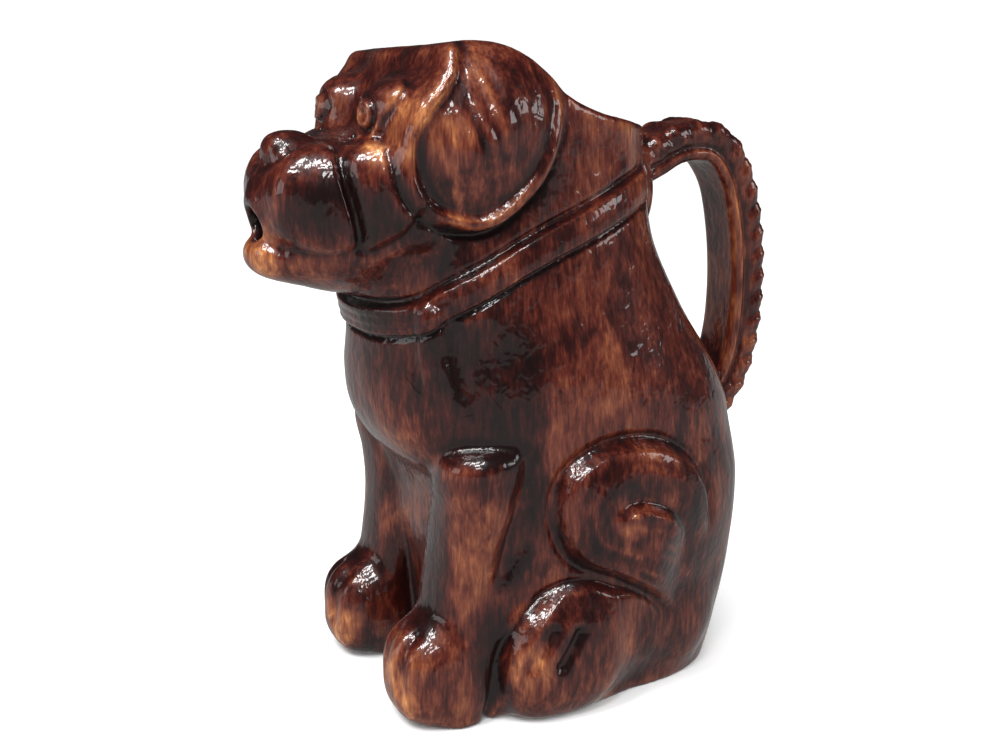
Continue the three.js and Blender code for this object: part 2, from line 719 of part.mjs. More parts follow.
// A big block under the ground, which takes the underside off flat
function groundBlock() {
  const size = 2 * HEIGHT;
  const box = new THREE.BoxGeometry(size, size, HEIGHT).translate(0, 0, -HEIGHT / 2);
  const places = box.getAttribute("position");
  const corners = new Map();
  const positions = [];
  const numbers = [];
  for (let i = 0; i < places.count; i += 1) {
    const point = [places.getX(i), places.getY(i), places.getZ(i)];
    const key = point.join();
    if (!corners.has(key)) {
      corners.set(key, positions.length);
      positions.push(point);
    }
    numbers.push(corners.get(key));
  }
  const order = [...box.index.array].map((n) => numbers[n]);
  const triangles = [];
  for (let i = 0; i < order.length; i += 3) triangles.push(order.slice(i, i + 3));
  return solid({ positions, triangles });
}

const DRAWING_LOW = [-75, -60, -6];
const DRAWING_HIGH = [75, 172, 246];
function pitcherGeometry() {
  const fine = surfaceOf(pottery, DRAWING_LOW, DRAWING_HIGH, GRID);
  const coarse = simplify(fine, TRIANGLES);
  coarse.positions = coarse.positions.map((point) => point.map((v) => v * UNIT));
  const body = solid(coarse).subtract(groundBlock());
  const mesh = body.getMesh();
  const geometry = new THREE.BufferGeometry();
  geometry.setAttribute("position", new THREE.BufferAttribute(new Float32Array(mesh.vertProperties), 3));
  geometry.setIndex(new THREE.BufferAttribute(new Uint32Array(mesh.triVerts), 1));
  geometry.computeBoundingBox();
  const { min: low, max: high } = geometry.boundingBox;
  geometry.translate(-(low.x + high.x) / 2, -(low.y + high.y) / 2, -low.z);
  geometry.computeVertexNormals();
  return geometry;
}

const glaze = new THREE.MeshStandardMaterial({
  color: "#5a2a17",
  roughness: 0.18,
  metalness: 0,
  flatShading: true,
});
const pitcher = new THREE.Mesh(pitcherGeometry(), glaze);
pitcher.name = "dog_pitcher";
const group = new THREE.Group();
group.add(pitcher);
export default group;
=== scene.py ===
"""A pouring jug in the shape of a sitting dog, one hollow piece of pottery under a treacle-brown glaze.

The dog faces -Y and its left side is +X. The figure is drawn in millimetres at 236 mm tall, with Y
counted back from the line of the front paws, and is then set in the frame's box.
"""
import math
from concurrent.futures import ThreadPoolExecutor

import bpy
import numpy as np
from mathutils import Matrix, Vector


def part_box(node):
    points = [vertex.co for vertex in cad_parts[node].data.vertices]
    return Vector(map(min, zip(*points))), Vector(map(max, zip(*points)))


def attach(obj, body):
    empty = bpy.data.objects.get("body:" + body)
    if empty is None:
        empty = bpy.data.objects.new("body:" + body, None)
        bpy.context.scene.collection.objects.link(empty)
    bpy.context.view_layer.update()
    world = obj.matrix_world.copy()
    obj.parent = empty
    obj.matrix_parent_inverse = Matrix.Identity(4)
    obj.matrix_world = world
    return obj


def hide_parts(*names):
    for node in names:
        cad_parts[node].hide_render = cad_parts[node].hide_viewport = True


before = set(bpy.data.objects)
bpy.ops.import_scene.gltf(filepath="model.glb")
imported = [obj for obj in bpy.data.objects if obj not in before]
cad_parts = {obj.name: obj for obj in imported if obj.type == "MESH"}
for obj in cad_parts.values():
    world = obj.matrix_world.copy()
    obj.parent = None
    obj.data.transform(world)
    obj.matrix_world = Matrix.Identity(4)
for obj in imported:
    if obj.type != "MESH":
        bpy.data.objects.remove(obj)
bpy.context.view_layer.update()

# Driving sizes, millimetres
DRAWN_HEIGHT = 236
WALL = 6
FLOOR = 7.5
HANDLE_WIDTH = 22
HANDLE_THICKNESS = 14.5
SPOUT_BORE = 11
RIM_ROUNDING = 2.2
UNDERSIDE_ROUNDING = 4

# The mesh: the size of its grid, and how many triangles are kept
CELL = 0.95
TRIANGLES = 194000
DRAWING_LOW = (-75, -56, -4)
DRAWING_HIGH = (75, 170, 242)


# Distances, with z up and every point an array

def bell(distance, width):
    return np.exp(-((distance / width) ** 2))


def ramp(start, end, value):
    """From 0 to 1 as a value goes from one place to another, in either direction."""
    share = np.clip((value - start) / (end - start), 0, 1)
    return share * share * (3 - 2 * share)


def join(a, b, width):
    """Two shapes joined, with the crease rounded over a width."""
    share = np.maximum(width - np.abs(a - b), 0) / width
    return np.minimum(a, b) - share * share * width * 0.25


def trim(a, b, width):
    return -join(-a, -b, width)


def profile(rows):
    """Rows of values along a first column, read off as one smooth curve per column."""
    rows = np.array(rows, float)
    at, values = rows[:, 0], rows[:, 1:]
    rise = np.diff(values, axis=0) / np.diff(at)[:, None]
    slopes = np.vstack([rise[:1], (rise[1:] + rise[:-1]) / 2, rise[-1:]])
    fine = np.linspace(at[0], at[-1], 600)
    i = np.clip(np.searchsorted(at, fine, side="right") - 1, 0, len(at) - 2)
    step = (at[i + 1] - at[i])[:, None]
    s = (fine - at[i])[:, None] / step
    table = (2 * s**3 - 3 * s**2 + 1) * values[i] + (s**3 - 2 * s**2 + s) * step * slopes[i]
    table += (3 * s**2 - 2 * s**3) * values[i + 1] + (s**3 - s**2) * step * slopes[i + 1]
    return lambda place, column: np.interp(place, fine, table[:, column])


def oval(u, v, half_u, half_v, power):
    """A squared-off oval: the distance from (u, v) to its edge."""
    q = np.maximum((np.abs(u / half_u) ** power + np.abs(v / half_v) ** power) ** (1 / power), 1e-4)
    du = (np.abs(u / half_u) / q) ** (power - 1) / half_u
    dv = (np.abs(v / half_v) / q) ** (power - 1) / half_v
    return (q - 1) / np.maximum(np.sqrt(du * du + dv * dv), 1e-4)


def lump(centre, radii, tip=0, turn=0, power=2):
    """A blob of clay: an ellipsoid, squarer for a power over 2, tipped about X or turned about Z."""
    cx, cy, cz = centre
    rx, ry, rz = radii
    tip_cos, tip_sin = math.cos(math.radians(tip)), math.sin(math.radians(tip))
    turn_cos, turn_sin = math.cos(math.radians(turn)), math.sin(math.radians(turn))

    def distance(x, y, z):
        a = (x - cx) * turn_cos + (y - cy) * turn_sin
        side = -(x - cx) * turn_sin + (y - cy) * turn_cos
        b = side * tip_cos + (z - cz) * tip_sin
        c = -side * tip_sin + (z - cz) * tip_cos
        shares = [np.abs(a / rx), np.abs(b / ry), np.abs(c / rz)]
        q = np.maximum(sum(share**power for share in shares) ** (1 / power), 1e-5)
        falls = [(share / q) ** (power - 1) / radius for share, radius in zip(shares, radii)]
        return (q - 1) / np.maximum(np.sqrt(sum(fall * fall for fall in falls)), 1e-4)

    return distance


def strokes(points):
    """The distance to a run of straight strokes in space."""
    points = np.array(points, float)

    def distance(x, y, z):
        best = np.full(x.shape, 1e9)
        for (ax, ay, az), (bx, by, bz) in zip(points[:-1], points[1:]):
            ex, ey, ez = bx - ax, by - ay, bz - az
            wx, wy, wz = x - ax, y - ay, z - az
            h = np.clip((wx * ex + wy * ey + wz * ez) / (ex * ex + ey * ey + ez * ez), 0, 1)
            best = np.minimum(best, (wx - h * ex) ** 2 + (wy - h * ey) ** 2 + (wz - h * ez) ** 2)
        return np.sqrt(best)

    return distance


def side_curve(points, closed, pieces):
    """A smooth curve through side-view points (Y, Z), as a run of short strokes."""
    points = np.array(points, float)
    if closed:
        held = np.vstack([points[-1:], points, points[:2]])
        spans = len(points)
    else:
        held = np.vstack([2 * points[0] - points[1], points, 2 * points[-1] - points[-2]])
        spans = len(points) - 1
    t = np.linspace(0, spans, pieces + 1)
    i = np.minimum(t.astype(int), spans - 1)
    s = (t - i)[:, None]
    before, start, end, after = (held[i + k] for k in range(4))
    leave, arrive = (end - before) / 2, (after - start) / 2
    curve = (2 * s**3 - 3 * s**2 + 1) * start + (s**3 - 2 * s**2 + s) * leave
    return curve + (3 * s**2 - 2 * s**3) * end + (s**3 - s**2) * arrive


def nearest(curve, y, z):
    """The nearest stroke of a side-view curve: distance, length along it, and which side it is on."""
    best = np.full(y.shape, 1e9)
    along = np.zeros(y.shape)
    side = np.ones(y.shape)
    travelled = 0
    for (ay, az), (by, bz) in zip(curve[:-1], curve[1:]):
        ey, ez = by - ay, bz - az
        length = math.hypot(ey, ez)
        h = np.clip(((y - ay) * ey + (z - az) * ez) / length**2, 0, 1)
        distance = (y - ay - h * ey) ** 2 + (z - az - h * ez) ** 2
        nearer = distance < best
        best = np.where(nearer, distance, best)
        along = np.where(nearer, travelled + h * length, along)
        side = np.where(nearer, np.where(ey * (z - az) - ez * (y - ay) < 0, -1, 1), side)
        travelled += length
    return np.sqrt(best), along, side


def inside_of(outline, y, z):
    """How far a side-view point is inside a closed outline, below zero outside it."""
    best = np.full(y.shape, 1e9)
    within = np.zeros(y.shape, bool)
    for (ay, az), (by, bz) in zip(outline[:-1], outline[1:]):
        ey, ez = by - ay, bz - az
        h = np.clip(((y - ay) * ey + (z - az) * ez) / (ey * ey + ez * ez), 0, 1)
        best = np.minimum(best, (y - ay - h * ey) ** 2 + (z - az - h * ez) ** 2)
        if abs(ez) > 1e-9:
            crosses = ((az > z) != (bz > z)) & (y < ay + (z - az) * ey / ez)
            within = within != crosses
    return np.where(within, np.sqrt(best), -np.sqrt(best))


def noise(x, y, z, seed=0):
    """Smooth lattice noise from -1 to 1, changing over about one unit."""
    cells = [np.floor(v) for v in (x, y, z)]
    fades = []
    for v, cell in zip((x, y, z), cells):
        share = v - cell
        fades.append(share * share * (3 - 2 * share))
    total = np.zeros(x.shape)
    for corner in range(8):
        bits = [(corner >> k) & 1 for k in range(3)]
        i, j, k = (cell + bit for cell, bit in zip(cells, bits))
        wave = np.sin(i * 127.1 + j * 311.7 + k * 74.7 + seed * 53.3) * 43758.5453
        weight = 1
        for bit, fade in zip(bits, fades):
            weight = weight * (fade if bit else 1 - fade)
        total += weight * (wave - np.floor(wave))
    return 2 * total - 1


def only(mask, change, d, *places):
    """The distances with a feature worked out only where the mask holds."""
    if mask.any():
        d = d.copy()
        d[mask] = change(d[mask], *(place[mask] for place in places))
    return d


# Trunk: height, front, back, half width, squareness
trunk_rows = profile([
    (-10, 20, 126, 50, 2.6),
    (6, 18, 131.5, 51.5, 2.6),
    (20, 17, 133.5, 52.5, 2.8),
    (40, 15, 135.5, 54, 3.1),
    (60, 12, 137, 56, 3.1),
    (76, 11, 137.3, 57, 3.0),
    (86, 7, 137, 57, 2.8),
    (95, -1, 136.8, 56.5, 2.6),
    (106, -7, 135.5, 56, 2.5),
    (120, -9, 129, 54.5, 2.4),
    (135, -8, 119, 51.5, 2.4),
    (150, -8, 110, 48.5, 2.6),
    (165, -7, 102.8, 46.5, 2.6),
    (180, -2, 100.5, 44, 2.4),
    (195, 6, 100.5, 41.5, 2.2),
    (210, 8, 101, 40.5, 2.2),
    (240, 6, 101, 39, 2.2),
])


def trunk(x, y, z, grow):
    front = trunk_rows(z, 0) - grow
    back = trunk_rows(z, 1) + grow
    return oval(x, y - (front + back) / 2, trunk_rows(z, 2) + grow, (back - front) / 2, trunk_rows(z, 3))


# Front leg: height, centre across, half width, front, back
LEG_TOP = 102
RIGHT_LEG_BACK = 1.5
LEG_GROOVE_DEPTH = 2.9
LEG_GROOVE_WIDTH = 3.4
leg_rows = profile([
    (0, 31.5, 16.5, 1, 22),
    (30, 31.5, 16.5, 1, 22),
    (43, 30.5, 17.5, 3, 24),
    (56, 31, 18, 5, 27),
    (67, 32, 18.5, 6, 29),
    (79, 35, 18.5, 6, 31.5),
    (92, 39, 16.5, 4.5, 34),
    (104, 42, 14, 7, 36),
])
leg_groove = strokes([(55, 34, 97), (54, 35, 88), (52, 33, 76), (50, 29, 64), (47, 24, 50)])
leg_web = lump((36, 27, 32), (12.5, 18, 36), power=2.6)


def front_leg(x, y, z):
    height = np.clip(z, 0, LEG_TOP + 2)
    front = leg_rows(height, 2)
    back = leg_rows(height, 3)
    across = x - leg_rows(height, 0)
    shaft = oval(across, y - (front + back) / 2, leg_rows(height, 1), (back - front) / 2, 2.3)
    return trim(shaft, z - LEG_TOP, 8)


# Front paw, with two creases between the toes
TOE_CREASE_WIDTH = 2.4
PAW_CREASE_DEPTH = 2.0
paw = lump((31.3, 7, 17.5), (17.5, 19.5, 20), power=2.6)
paw_toes = [
    strokes([(25.5, -6, 34), (26, -9.8, 29), (26, -12.5, 16)]),
    strokes([(37.5, -5, 34), (38, -8.8, 29), (38.5, -11.5, 16)]),
]

# Hind leg, with the folded shank behind it and the long foot along the side
FOOT_CREASE_DEPTH = 2.2
FOOT_STEP = 2.0
FOOT_CROWN = 0.8
FOOT_FADE_FROM = 60
FOOT_FADE_TO = 78
haunch = lump((42, 79, 64), (17, 33, 36), tip=14)
toes_lump = lump((45, 44, 23), (14.5, 21, 24), power=2.5)
foot_lump = lump((45, 62, 27), (13, 26, 22), tip=8, power=2.3)
hock_lump = lump((42, 93, 26), (13, 24, 26))
foot_toes = [
    strokes([(59.5, 38, 36), (61, 34, 30), (60, 30, 24)]),
    strokes([(60.5, 48, 34), (61.8, 45, 29), (61, 41, 23)]),
]
THIGH = side_curve(
    [
        (82, 41), (66, 51.5), (52, 58), (45, 67), (42.5, 80), (47, 92), (60, 98.5),
        (76, 99), (89, 94), (99, 85), (104, 72), (104, 56), (100, 40), (92, 32),
    ],
    True,
    46,
)
FOOT = side_curve(
    [
        (21, -20), (21, 12), (23, 25), (28, 34), (33, 40), (40, 46.5), (48, 49.5), (57, 48.5),
        (67, 44), (80, 40), (100, 36), (110, 10), (100, -20), (60, -30),
    ],
    True,
    42,
)
THIGH_HIGH = 112
THIGH_IN = 30
THIGH_RAISED = 3.8
THIGH_CROWN = 3.4
THIGH_CROWN_WIDTH = 9
THIGH_EDGE_DEPTH = 1.9
SHANK_DEPTH = 3.2
SHANK_STEP_WIDTH = 3.5
SHANK_EDGE_RAISED = 1.2
SHANK = side_curve(
    [(60, 72), (66, 76.5), (74, 76), (82, 72), (88, 65), (92, 57), (95, 49), (97, 40), (96, 28)],
    False,
    20,
)


def legs(d, x, y, z, way_x):
    d = join(d, haunch(x, y, z), 9)
    d = join(d, leg_web(x, y, z), 8)
    d = join(d, front_leg(x, y - np.where(way_x < 0, RIGHT_LEG_BACK, 0), z), 2.5)
    d = join(d, paw(x, y, z), 7)
    foot = join(join(toes_lump(x, y, z), foot_lump(x, y, z), 9), hock_lump(x, y, z), 10)
    d = join(d, foot, 3)
    stepped = pad(d, x, y, z, FOOT, 30, 46, FOOT_STEP, FOOT_CROWN)
    d = d + ramp(FOOT_FADE_TO, FOOT_FADE_FROM, y) * (stepped - d)
    for toe in paw_toes:
        d = d + PAW_CREASE_DEPTH * bell(toe(x, y, z), TOE_CREASE_WIDTH)
    for toe in foot_toes:
        d = d + FOOT_CREASE_DEPTH * bell(toe(x, y, z), TOE_CREASE_WIDTH)
    return d + LEG_GROOVE_DEPTH * bell(leg_groove(x, y, z), LEG_GROOVE_WIDTH) * ramp(46, 68, z)


def thigh(d, x, y, z):
    """The raised outline of the thigh, dying away low behind, the fold of the shank and the hair."""
    low_behind = ramp(76, 94, y) * ramp(78, 56, z)
    on_side = ramp(THIGH_IN, 44, x) * (1 - low_behind)
    depth = inside_of(THIGH, y, z)
    crown = THIGH_CROWN * (1 - np.exp(-np.maximum(depth, 0) / THIGH_CROWN_WIDTH))
    swell = THIGH_RAISED * ramp(-1.5, 2.5, depth) + crown
    d = d - on_side * (swell - THIGH_EDGE_DEPTH * bell(depth + 2.4, 2))
    distance, along, side = nearest(SHANK, y, z)
    past_step = np.maximum(distance - SHANK_STEP_WIDTH, 0)
    behind = SHANK_DEPTH * ramp(0, SHANK_STEP_WIDTH, distance) * np.exp(-past_step / 7)
    step = np.where(side > 0, behind, -SHANK_EDGE_RAISED * bell(distance, SHANK_STEP_WIDTH))
    d = d + on_side * ramp(0, 12, along) * step
    low_part = ramp(70, 55, z) * ramp(62, 75, y)
    hair = noise(depth / 2.3, along / 13, x / 9, seed=4)
    return d - on_side * (0.1 + 0.4 * low_part) * hair * ramp(-2, 3, depth)


# Head
skull = lump((0, 35, 204.5), (43, 37, 44), power=2.05)
muzzle = lump((0, -8, 187.8), (28, 34, 18.5), tip=8, power=2.7)
chin = lump((0, -26, 168.6), (17.5, 21.5, 11.5), tip=8)
throat = lump((0, -2, 163.8), (24, 19, 10.5), tip=14)
jaw = lump((0, -5, 174.8), (33, 31, 19), tip=12, power=2.3)
lip = lump((0, -30.5, 183), (14, 16, 13.5))
cheek = lump((26.5, -3, 187), (13.5, 19, 18.5), turn=-32, power=2.7)
flew = lump((13.5, -21, 185.5), (14.5, 20.5, 17), turn=-30, power=2.6)
CHEEK = side_curve(
    [
        (-21, 202), (-12, 205), (-2, 204.5), (1, 197), (1.5, 189), (-2.5, 182), (-8, 175),
        (-16, 171), (-18, 178), (-20, 187), (-21.5, 195),
    ],
    True,
    33,
)
FLEW = side_curve(
    [
        (-39, 199), (-31, 203.5), (-23.5, 203), (-23, 195), (-21.5, 187), (-19.5, 178),
        (-20, 171.5), (-28, 169.5), (-37, 172), (-42, 178), (-43, 190),
    ],
    True,
    33,
)

# Features of the face
CHEEK_STEP = 1.8
CHEEK_CROWN = 1.2
FLEW_STEP = 1.3
FLEW_CROWN = 0.8
nose = lump((0, -31, 199), (8.5, 9, 8), power=2.6)
brow = lump((24, 4.2, 212.5), (18.5, 14.5, 12), turn=30, power=2.6)
EYE_ACROSS = 20
EYE_BACK = -10
EYE_HEIGHT = 213
EYE_TURN = math.radians(38)
EYE_RING = (3.0, 3.6)
EYE_RING_RAISED = 0.9
EYE_GROOVE_DEPTH = 1.0
EYE_GROOVE_AT = 1.6
EYEBALL_RAISED = 0.8
PUPIL_DEPTH = 1.3
MOUTH_LINE_DEPTH = 1.2
UNDEREYE_DEPTH = 1.5
BAG_CREASE_DEPTH = 0.9
NOSTRIL_DEPTH = 1.5
nostril = strokes([(4, -41, 196.5), (8, -40, 197), (11.5, -36, 199), (11.5, -32, 201)])
mouth_line = strokes([(0, -50, 174), (9, -43, 172.5), (14, -39, 169)])
undereye = strokes([(16, -12.5, 204.5), (21, -12, 204), (28, -9, 204), (37, -7, 205.5), (42, -5, 205)])
bag_crease = strokes([(23, -9.5, 209.5), (28, -7, 207), (33, -4, 206)])
HEAD_LOW = 136


def head(x, y, z):
    d = skull(x, y, z)
    d = join(d, muzzle(x, y, z), 12)
    d = join(d, chin(x, y, z), 7)
    d = join(d, throat(x, y, z), 10)
    d = join(d, jaw(x, y, z), 8)
    d = join(d, lip(x, y, z), 6)
    d = join(d, cheek(x, y, z), 5)
    d = join(d, flew(x, y, z), 5)
    d = join(d, nose(x, y, z), 3)
    d = join(d, brow(x, y, z), 8)
    d = pad(d, x, y, z, CHEEK, 20, 30, CHEEK_STEP, CHEEK_CROWN)
    d = pad(d, x, y, z, FLEW, 6, 16, FLEW_STEP, FLEW_CROWN)
    d = d + UNDEREYE_DEPTH * bell(undereye(x, y, z), 1.5)
    d = d + BAG_CREASE_DEPTH * bell(bag_crease(x, y, z), 1.5)
    d = d + NOSTRIL_DEPTH * bell(nostril(x, y, z), 1.7)
    return eye(d, x, y, z)


def mouth_crease(d, x, y, z):
    return d + MOUTH_LINE_DEPTH * bell(mouth_line(x, y, z), 1.8)


def eye(d, x, y, z):
    """A raised almond ring with a sunken edge round it, a low eyeball and a pressed pupil."""
    across = (x - EYE_ACROSS) * math.cos(EYE_TURN) + (y - EYE_BACK) * math.sin(EYE_TURN)
    up = z - EYE_HEIGHT
    r = np.hypot(across / EYE_RING[0], up / EYE_RING[1])
    front = ramp(3, -2, y)
    ball = np.maximum(1 - r * r, 0)
    pupil = np.hypot(across + 0.2, up - 0.4)
    ring = EYE_RING_RAISED * bell((r - 1) * EYE_RING[0], 0.75)
    groove = EYE_GROOVE_DEPTH * bell((r - EYE_GROOVE_AT) * EYE_RING[0], 0.9)
    return d - front * (ring - groove + EYEBALL_RAISED * ball - PUPIL_DEPTH * bell(pupil, 0.9))


def pad(d, x, y, z, outline, x_from, x_to, step, crown):
    """A low pad raised inside a side-view outline, where the surface is far enough out."""
    depth = inside_of(outline, y, z)
    swell = step * ramp(-1, 2.5, depth) + crown * (1 - np.exp(-np.maximum(depth, 0) / 6))
    return d - ramp(x_from, x_to, x) * (swell - 0.5 * step * bell(depth + 1.6, 1.3))


# Hanging ear, a flap laid over the side of the head with a rolled edge
ear_dome = lump((20, 24, 203), (34, 40, 42))
EAR = side_curve(
    [
        (14, 243), (5, 227), (-3, 217.5), (-8, 207), (-8.5, 195), (-4, 184.5), (6, 177.5),
        (20, 175.5), (33, 183.5), (43, 195), (49, 208), (51, 220), (43, 243),
    ],
    True,
    40,
)
EAR_LOW = 160
EAR_DISH_DEPTH = 4.0
EAR_MIDDLE_RAISED = 3.2
EAR_ROLL_RAISED = 0.9
EAR_EDGE_DEPTH = 1.3
EAR_HAIR_DEPTH = 0.7
EAR_HAIR_LEAN = 0.28
EAR_TOP_DEPTH = 1.2
ear_top_hollow = strokes([(38, 20, 231.5), (37, 28, 231)])


def ear(d, x, y, z):
    """The flap of the ear: a rolled edge, a dish inside it, hair, and a hollow at its top."""
    depth = inside_of(EAR, y, z)
    flap = trim(ear_dome(x, y, z), -depth, 6)
    d = join(d, flap, 1.5)
    dish = EAR_DISH_DEPTH * ramp(3.2, 8, depth) - EAR_MIDDLE_RAISED * ramp(9, 25, depth)
    to_front = 0.3 + 0.7 * ramp(42, 18, y)
    d = d + ramp(22, 34, x) * dish * to_front * ramp(6, 1, np.abs(flap))
    roll = EAR_ROLL_RAISED * bell(depth - 2.4, 1.9) - EAR_EDGE_DEPTH * bell(depth + 1.4, 1.2)
    d = d - ramp(24, 32, x) * roll * to_front
    on_flap = ramp(26, 38, x) * ramp(2.5, 7, depth)
    d = d - on_flap * EAR_HAIR_DEPTH * ear_hair(x, y, z, depth)
    return d + EAR_TOP_DEPTH * bell(ear_top_hollow(x, y, z), 2.2)


def ear_hair(x, y, z, depth):
    """Locks that hang down the ear, and follow its edge towards the back, from -1 to 1."""
    across_locks = y + EAR_HAIR_LEAN * z
    down_locks = z - EAR_HAIR_LEAN * y
    locks = noise(across_locks / 2.7, down_locks / 17, x / 12, seed=1)
    rim_locks = noise(depth / 2.3, (y + z) / 24, x / 12, seed=2)
    share = ramp(17, 7, depth) * ramp(10, 32, y)
    return locks * (1 - share) + rim_locks * share


# Collar: distance back, height of its middle. Its end lies by the handle.
collar_height = profile([
    (-30, 138.5),
    (-12, 142.5),
    (0, 146.5),
    (8, 152),
    (20, 158.5),
    (35, 166.5),
    (55, 174.5),
    (80, 183.5),
    (100, 188),
])
COLLAR_HALF = 5.2
COLLAR_RAISED = 2.4
COLLAR_END = 92
COLLAR_EDGE_DEPTH = 1.1
COLLAR_LINE_DEPTH = 0.35
STRAP_RAISED = 1.9
STRAP_HALF = 4.8
STRAP_GROOVE_DEPTH = 3.4
strap = strokes([(35.6, 3.9, 147), (35.8, 3.7, 142), (36.3, 3.4, 134), (39.2, 4.5, 122)])
strap_groove = strokes([(40.6, 9.4, 143.5), (41.2, 9.7, 138), (42.5, 10.5, 132), (44.5, 11.7, 122)])


def collar(d, x, y, z):
    """A raised band with sunken edges, and two fine lines along it on the chest."""
    off = z - collar_height(y, 0)
    away = np.abs(off)
    on = ramp(COLLAR_END + 3, COLLAR_END - 3, y)
    crown = 1 - 0.25 * (away / COLLAR_HALF) ** 2
    band = crown * ramp(COLLAR_HALF + 0.8, COLLAR_HALF - 0.8, away)
    edge = COLLAR_EDGE_DEPTH * bell(away - COLLAR_HALF - 1.4, 1.3)
    d = d - on * (COLLAR_RAISED * band - edge)
    lines = bell(off - 1.2, 0.7) + bell(off + 2.2, 0.7)
    return d + on * COLLAR_LINE_DEPTH * lines * ramp(12, 2, y)


def hanging_strap(d, x, y, z):
    """The end of the collar that hangs down one side of the chest, dying away downwards."""
    raised = STRAP_RAISED * ramp(STRAP_HALF + 1.2, STRAP_HALF - 1.2, strap(x, y, z))
    groove = STRAP_GROOVE_DEPTH * bell(strap_groove(x, y, z), 2.2)
    return d - raised * ramp(118, 132, z) + groove * ramp(114, 126, z)


# Handle: a flat band inside and a rope edge outside, bent in one curve up the back
HANDLE = side_curve(
    [
        (92, 185.5), (107, 191), (122, 197.3), (137, 196.3), (147.2, 184.5), (152.7, 166),
        (155, 145), (154.2, 122), (149.5, 104), (139, 89),
    ],
    False,
    44,
)
HANDLE_FRONT = 74
ROPE_TURN = 8.5
ROPE_RAISED = 0.9
ROPE_LEAN = 0.24
ROPE_WRAP = 0.4
YARN_RAISED = 0.12
YARNS = 3
CHANNEL_DEPTH = 1.5
HANDLE_CORNER = 3.5
leaf_lump = lump((8.5, 98.5, 181), (8, 8.5, 18))


def handle(x, y, z):
    """A band with round corners, a channel along each face, and twisted strands on its outer edge."""
    distance, along, side = nearest(HANDLE, y, z)
    outwards = distance * side
    a = x - (HANDLE_WIDTH / 2 - HANDLE_CORNER)
    b = distance - (HANDLE_THICKNESS / 2 - HANDLE_CORNER)
    round_part = np.sqrt(np.maximum(a, 0) ** 2 + np.maximum(b, 0) ** 2)
    band = round_part + np.minimum(np.maximum(a, b), 0) - HANDLE_CORNER
    rope = ramp(-1, 2, outwards) * ramp(6, 16, along)
    turn = 2 * math.pi * along / ROPE_TURN + x * ROPE_LEAN + outwards * ROPE_WRAP
    strand = 0.5 + 0.5 * np.sin(turn)
    channel = CHANNEL_DEPTH * bell(outwards + 2, 1.5) * ramp(6, 9, x)
    yarn = YARN_RAISED * np.sin(turn * YARNS + 0.6 * x) * rope
    return band - rope * ROPE_RAISED * strand + channel + yarn


# Rim: distance back, height of the cut that opens the top of the head
rim_height = profile([
    (-60, 233),
    (-10, 233),
    (6, 233.2),
    (21, 234.5),
    (32, 232.5),
    (42, 227),
    (52, 217.5),
    (65, 211),
    (80, 207.5),
    (97, 205),
    (104, 204.5),
])
RIM_TILT = 0.05
RIM_SLOPE = 0.93
RIM_BACK = 104


def outside(way_x, y, z):
    """The outside of the figure, as a distance that is below zero inside the clay."""
    x = np.abs(way_x)
    d = trunk(x, y, z, 0)
    d = only(z < 130, legs, d, x, y, z, way_x)
    d = only(z > HEAD_LOW, lambda d, x, y, z: join(d, head(x, y, z), 10), d, x, y, z)
    d = only(z > HEAD_LOW, mouth_crease, d, x, y, z)
    d = only((z > EAR_LOW) & (np.abs(d) < 20) & (y < 70), ear, d, x, y, z)
    d = only((z < THIGH_HIGH) & (x > THIGH_IN) & (np.abs(d) < 9), thigh, d, x, y, z)
    d = only((z > 125) & (z < 205) & (y < COLLAR_END + 4), collar, d, x, y, z)
    near_strap = (way_x > 20) & (y < 30) & (z > 105) & (z < 170)
    d = only(near_strap, hanging_strap, d, way_x, y, z)
    d = only((y > HANDLE_FRONT) & (x < 30), lambda d, x, y, z: join(d, handle(x, y, z), 5), d, x, y, z)
    d = only((y > 80) & (x < 30), lambda d, x, y, z: join(d, leaf_lump(x, y, z), 1.5), d, x, y, z)
    over_rim = z - rim_height(y, 0) - RIM_TILT * way_x
    above_rim = RIM_SLOPE * over_rim - DRAWN_HEIGHT * ramp(RIM_BACK, RIM_BACK + 4, y)
    d = trim(d, above_rim, 2.5)
    return trim(d, -z - 1.5, UNDERSIDE_ROUNDING)


# The room inside, from the floor up through the head, and the bore of the spout
skull_room = lump((0, 34, 206), (34, 29, 40))
muzzle_room = lump((0, -12, 182.5), (15, 22, 12.5))
spout_line = strokes([(0, -62, 177.5), (0, -20, 177.5)])
mouth_opening = lump((0, -45.5, 176.5), (6, 9.5, 4.4))


def inside(way_x, y, z):
    x = np.abs(way_x)
    d = trunk(x, y, z, -WALL - 0.5)
    d = trim(d, FLOOR - z, 6)
    d = join(d, skull_room(x, y, z), 8)
    d = join(d, muzzle_room(x, y, z), 6)
    d = join(d, spout_line(x, y, z) - SPOUT_BORE / 2, 3)
    return join(d, mouth_opening(x, y, z), 3)


def hand_work(x, y, z):
    """The slow unevenness of pressed clay, and faint upright hair all over."""
    slow = 0.32 * noise(x / 21, y / 21, z / 26, seed=7) + 0.14 * noise(x / 8, y / 8, z / 12, seed=8)
    hair = 0.07 * noise(x / 2.2, y / 2.2, z / 17, seed=9)
    return slow + hair


def skin(x, y, z):
    """The outside with its small relief."""
    d = outside(x, y, z)
    return only(np.abs(d) < 4, lambda d, x, y, z: d - hand_work(x, y, z), d, x, y, z)


def pottery(x, y, z):
    shell = trim(skin(x, y, z), -inside(x, y, z), RIM_ROUNDING)
    return np.maximum(shell, -z)


# Making the mesh

CHUNK = 60000
THREADS = 4


def measure(field, points):
    """The field at every point, worked out in pieces side by side."""
    parts = np.array_split(points, max(1, len(points) // CHUNK))
    with ThreadPoolExecutor(THREADS) as pool:
        return np.concatenate(list(pool.map(lambda part: field(*part.T), parts)))


